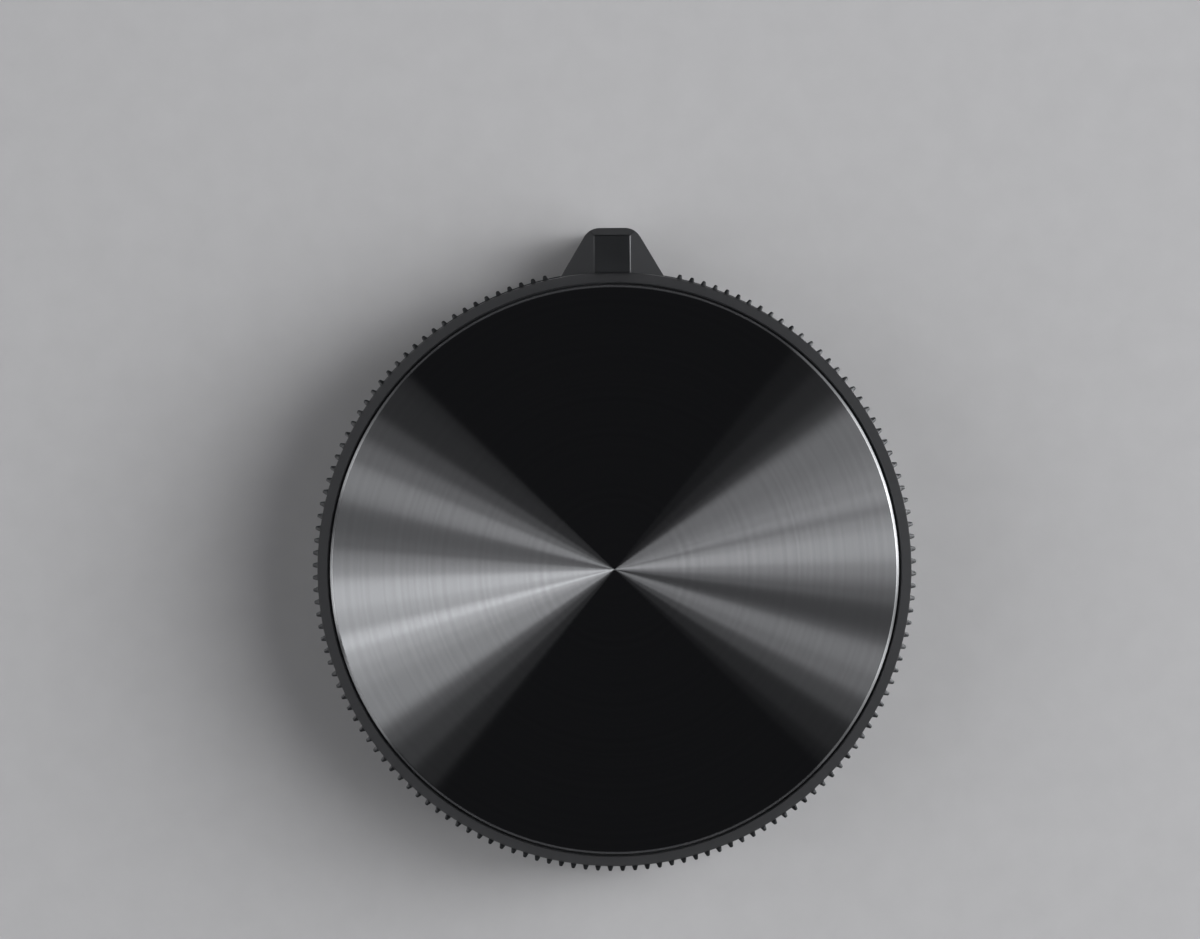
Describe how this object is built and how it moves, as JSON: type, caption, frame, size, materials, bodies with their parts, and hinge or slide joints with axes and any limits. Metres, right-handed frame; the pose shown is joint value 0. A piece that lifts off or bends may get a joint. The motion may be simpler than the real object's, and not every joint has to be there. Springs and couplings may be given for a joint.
{
  "type": "dryer knob",
  "caption": "Round dryer control knob: ribbed dark-plated grip ring with a pointer, spun metal face disc, and a moulded carrier with a sprung D-shaft socket.",
  "frame": {"origin": "on the shaft axis at the mouth of the shaft socket, in the plane of the back rim", "axes": "+Z along the shaft axis out of the face, +Y along the pointer, +X to the right seen from the front"},
  "size_m": [0.0714, 0.0759, 0.02],
  "materials": {
    "dark_plating": "dark bright plating on moulded ABS",
    "spun_aluminium": "circular brushed, with a bright cut edge",
    "adhesive_film": "plain film",
    "moulded_abs": "fine moulded texture",
    "spring_steel": "rolled strip"
  },
  "bodies": {
    "root": {"grip_ring": "dark_plating", "face_disc": "spun_aluminium", "face_adhesive": "adhesive_film", "knob_body": "moulded_abs", "shaft_spring": "spring_steel"}
  },
  "joints": []
}
